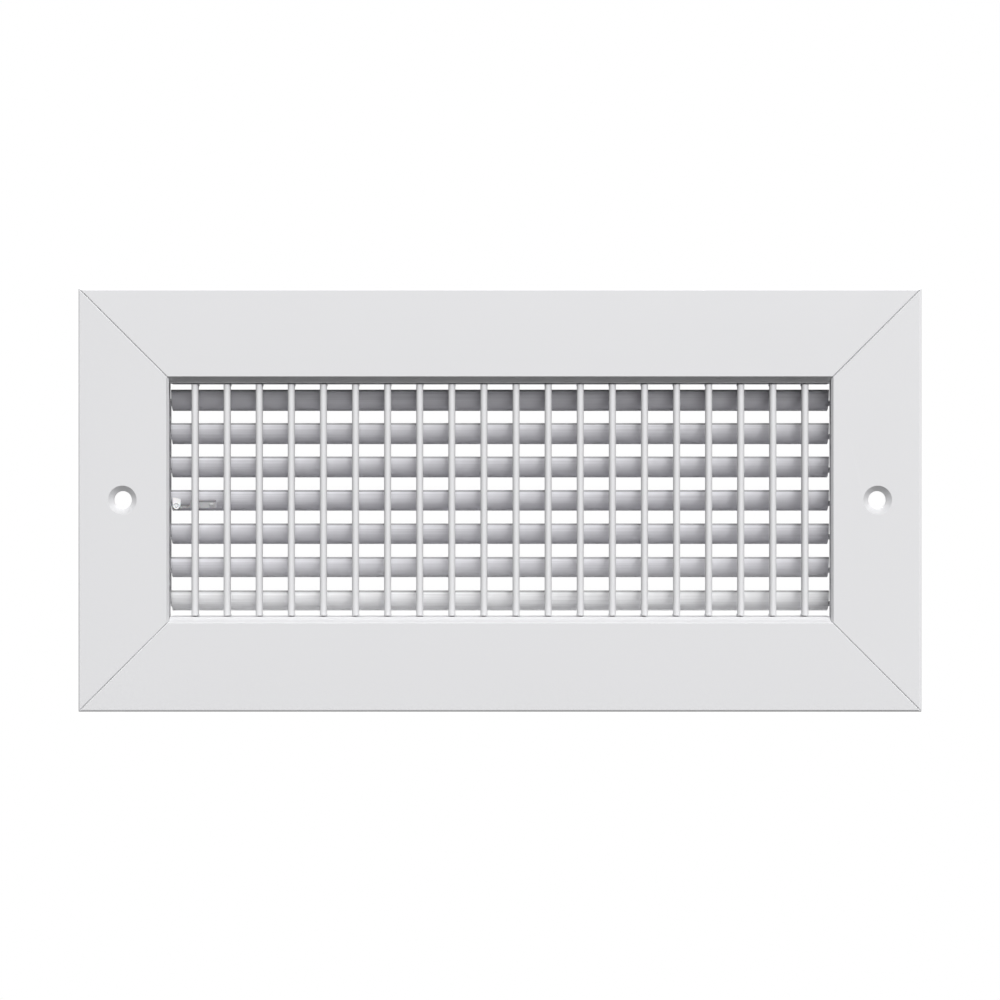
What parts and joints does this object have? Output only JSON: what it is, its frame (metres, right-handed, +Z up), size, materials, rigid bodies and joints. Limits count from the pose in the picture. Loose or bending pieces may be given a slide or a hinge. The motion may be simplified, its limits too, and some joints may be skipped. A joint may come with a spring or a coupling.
{
  "type": "louvred air grille",
  "caption": "Rectangular double-deflection supply grille: mitred flange, upright blades turned one by one, and a lever-worked shutter of curved cross blades behind.",
  "frame": {"origin": "centre of the opening on the wall's surface, which is the plane of the flange's rear edge", "axes": "+X to the right along the grille's length, +Y into the wall and the duct, +Z up; the room is on the -Y side"},
  "size_m": [0.3048, 0.032, 0.153],
  "materials": {
    "powder_coat": "satin off-white powder coat on aluminium",
    "mill_aluminium": "plain mill finish",
    "zinc_steel": "bright zinc plate",
    "white_plastic": "moulded white, satin"
  },
  "bodies": {
    "root": {"frame_top": "powder_coat", "frame_bottom": "powder_coat", "frame_left": "powder_coat", "frame_right": "powder_coat", "blade_rail_top": "powder_coat", "blade_rail_bottom": "powder_coat", "side_plate_left": "powder_coat", "side_plate_right": "powder_coat", "shutter_strap_top": "powder_coat", "shutter_strap_bottom": "powder_coat", "corner_key_top_left": "mill_aluminium", "corner_key_top_right": "mill_aluminium", "corner_key_bottom_left": "mill_aluminium", "corner_key_bottom_right": "mill_aluminium", "rail_rivet_1": "mill_aluminium", "rail_rivet_2": "mill_aluminium", "rail_rivet_3": "mill_aluminium", "rail_rivet_4": "mill_aluminium", "strap_rivet_1": "mill_aluminium", "strap_rivet_2": "mill_aluminium", "strap_rivet_3": "mill_aluminium", "strap_rivet_4": "mill_aluminium", "plate_screw_1": "zinc_steel", "plate_screw_2": "zinc_steel", "plate_screw_3": "zinc_steel", "plate_screw_4": "zinc_steel"},
    "front_blade_01": {"front_blade_01": "powder_coat"},
    "front_blade_02": {"front_blade_02": "powder_coat"},
    "front_blade_03": {"front_blade_03": "powder_coat"},
    "front_blade_04": {"front_blade_04": "powder_coat"},
    "front_blade_05": {"front_blade_05": "powder_coat"},
    "front_blade_06": {"front_blade_06": "powder_coat"},
    "front_blade_07": {"front_blade_07": "powder_coat"},
    "front_blade_08": {"front_blade_08": "powder_coat"},
    "front_blade_09": {"front_blade_09": "powder_coat"},
    "front_blade_10": {"front_blade_10": "powder_coat"},
    "front_blade_11": {"front_blade_11": "powder_coat"},
    "front_blade_12": {"front_blade_12": "powder_coat"},
    "front_blade_13": {"front_blade_13": "powder_coat"},
    "front_blade_14": {"front_blade_14": "powder_coat"},
    "front_blade_15": {"front_blade_15": "powder_coat"},
    "front_blade_16": {"front_blade_16": "powder_coat"},
    "front_blade_17": {"front_blade_17": "powder_coat"},
    "front_blade_18": {"front_blade_18": "powder_coat"},
    "front_blade_19": {"front_blade_19": "powder_coat"},
    "front_blade_20": {"front_blade_20": "powder_coat"},
    "rear_blade_1": {"rear_blade_1": "powder_coat"},
    "rear_blade_2": {"rear_blade_2": "powder_coat"},
    "rear_blade_3": {"rear_blade_3": "powder_coat"},
    "rear_blade_4": {"rear_blade_4": "powder_coat", "damper_lever": "white_plastic", "lever_knob": "white_plastic", "lever_rivet": "powder_coat"},
    "rear_blade_5": {"rear_blade_5": "powder_coat"},
    "rear_blade_6": {"rear_blade_6": "powder_coat"},
    "rear_blade_7": {"rear_blade_7": "powder_coat"},
    "tie_bar": {"tie_bar": "zinc_steel"}
  },
  "joints": [
    {"name": "front_blade_01_turn", "type": "hinge", "parent": "root", "child": "front_blade_01", "pos_m": [-0.11067, 0.0029, 0], "axis": [0, 0, 1], "range_deg": [-45, 45]},
    {"name": "front_blade_02_turn", "type": "hinge", "parent": "root", "child": "front_blade_02", "pos_m": [-0.09903, 0.0029, 0], "axis": [0, 0, 1], "range_deg": [-45, 45]},
    {"name": "front_blade_03_turn", "type": "hinge", "parent": "root", "child": "front_blade_03", "pos_m": [-0.08737, 0.0029, 0], "axis": [0, 0, 1], "range_deg": [-45, 45]},
    {"name": "front_blade_04_turn", "type": "hinge", "parent": "root", "child": "front_blade_04", "pos_m": [-0.07573, 0.0029, 0], "axis": [0, 0, 1], "range_deg": [-45, 45]},
    {"name": "front_blade_05_turn", "type": "hinge", "parent": "root", "child": "front_blade_05", "pos_m": [-0.06407, 0.0029, 0], "axis": [0, 0, 1], "range_deg": [-45, 45]},
    {"name": "front_blade_06_turn", "type": "hinge", "parent": "root", "child": "front_blade_06", "pos_m": [-0.05242, 0.0029, 0], "axis": [0, 0, 1], "range_deg": [-45, 45]},
    {"name": "front_blade_07_turn", "type": "hinge", "parent": "root", "child": "front_blade_07", "pos_m": [-0.04077, 0.0029, 0], "axis": [0, 0, 1], "range_deg": [-45, 45]},
    {"name": "front_blade_08_turn", "type": "hinge", "parent": "root", "child": "front_blade_08", "pos_m": [-0.02913, 0.0029, 0], "axis": [0, 0, 1], "range_deg": [-45, 45]},
    {"name": "front_blade_09_turn", "type": "hinge", "parent": "root", "child": "front_blade_09", "pos_m": [-0.01748, 0.0029, 0], "axis": [0, 0, 1], "range_deg": [-45, 45]},
    {"name": "front_blade_10_turn", "type": "hinge", "parent": "root", "child": "front_blade_10", "pos_m": [-0.00583, 0.0029, 0], "axis": [0, 0, 1], "range_deg": [-45, 45]},
    {"name": "front_blade_11_turn", "type": "hinge", "parent": "root", "child": "front_blade_11", "pos_m": [0.00583, 0.0029, 0], "axis": [0, 0, 1], "range_deg": [-45, 45]},
    {"name": "front_blade_12_turn", "type": "hinge", "parent": "root", "child": "front_blade_12", "pos_m": [0.01748, 0.0029, 0], "axis": [0, 0, 1], "range_deg": [-45, 45]},
    {"name": "front_blade_13_turn", "type": "hinge", "parent": "root", "child": "front_blade_13", "pos_m": [0.02913, 0.0029, 0], "axis": [0, 0, 1], "range_deg": [-45, 45]},
    {"name": "front_blade_14_turn", "type": "hinge", "parent": "root", "child": "front_blade_14", "pos_m": [0.04077, 0.0029, 0], "axis": [0, 0, 1], "range_deg": [-45, 45]},
    {"name": "front_blade_15_turn", "type": "hinge", "parent": "root", "child": "front_blade_15", "pos_m": [0.05242, 0.0029, 0], "axis": [0, 0, 1], "range_deg": [-45, 45]},
    {"name": "front_blade_16_turn", "type": "hinge", "parent": "root", "child": "front_blade_16", "pos_m": [0.06407, 0.0029, 0], "axis": [0, 0, 1], "range_deg": [-45, 45]},
    {"name": "front_blade_17_turn", "type": "hinge", "parent": "root", "child": "front_blade_17", "pos_m": [0.07573, 0.0029, 0], "axis": [0, 0, 1], "range_deg": [-45, 45]},
    {"name": "front_blade_18_turn", "type": "hinge", "parent": "root", "child": "front_blade_18", "pos_m": [0.08737, 0.0029, 0], "axis": [0, 0, 1], "range_deg": [-45, 45]},
    {"name": "front_blade_19_turn", "type": "hinge", "parent": "root", "child": "front_blade_19", "pos_m": [0.09903, 0.0029, 0], "axis": [0, 0, 1], "range_deg": [-45, 45]},
    {"name": "front_blade_20_turn", "type": "hinge", "parent": "root", "child": "front_blade_20", "pos_m": [0.11067, 0.0029, 0], "axis": [0, 0, 1], "range_deg": [-45, 45]},
    {"name": "shutter_turn", "type": "hinge", "parent": "root", "child": "rear_blade_4", "pos_m": [0, 0.0159, -0.00122], "axis": [-1, 0, 0], "range_deg": [-34, 44]},
    {"name": "rear_blade_1_turn", "type": "hinge", "parent": "root", "child": "rear_blade_1", "pos_m": [0, 0.0159, 0.03559], "axis": [-1, 0, 0], "range_deg": [-34, 44]},
    {"name": "rear_blade_2_turn", "type": "hinge", "parent": "root", "child": "rear_blade_2", "pos_m": [0, 0.0159, 0.02332], "axis": [-1, 0, 0], "range_deg": [-34, 44]},
    {"name": "rear_blade_3_turn", "type": "hinge", "parent": "root", "child": "rear_blade_3", "pos_m": [0, 0.0159, 0.01105], "axis": [-1, 0, 0], "range_deg": [-34, 44]},
    {"name": "rear_blade_5_turn", "type": "hinge", "parent": "root", "child": "rear_blade_5", "pos_m": [0, 0.0159, -0.01349], "axis": [-1, 0, 0], "range_deg": [-34, 44]},
    {"name": "rear_blade_6_turn", "type": "hinge", "parent": "root", "child": "rear_blade_6", "pos_m": [0, 0.0159, -0.02576], "axis": [-1, 0, 0], "range_deg": [-34, 44]},
    {"name": "rear_blade_7_turn", "type": "hinge", "parent": "root", "child": "rear_blade_7", "pos_m": [0, 0.0159, -0.03803], "axis": [-1, 0, 0], "range_deg": [-34, 44]},
    {"name": "tie_bar_turn", "type": "hinge", "parent": "rear_blade_4", "child": "tie_bar", "pos_m": [0, 0.02038, -0.00083], "axis": [-1, 0, 0], "range_deg": [-44, 34]}
  ],
  "couplings": [
    {"joint": "rear_blade_1_turn", "follows": "shutter_turn", "ratio": 1},
    {"joint": "rear_blade_2_turn", "follows": "shutter_turn", "ratio": 1},
    {"joint": "rear_blade_3_turn", "follows": "shutter_turn", "ratio": 1},
    {"joint": "rear_blade_5_turn", "follows": "shutter_turn", "ratio": 1},
    {"joint": "rear_blade_6_turn", "follows": "shutter_turn", "ratio": 1},
    {"joint": "rear_blade_7_turn", "follows": "shutter_turn", "ratio": 1},
    {"joint": "tie_bar_turn", "follows": "shutter_turn", "ratio": -1}
  ]
}
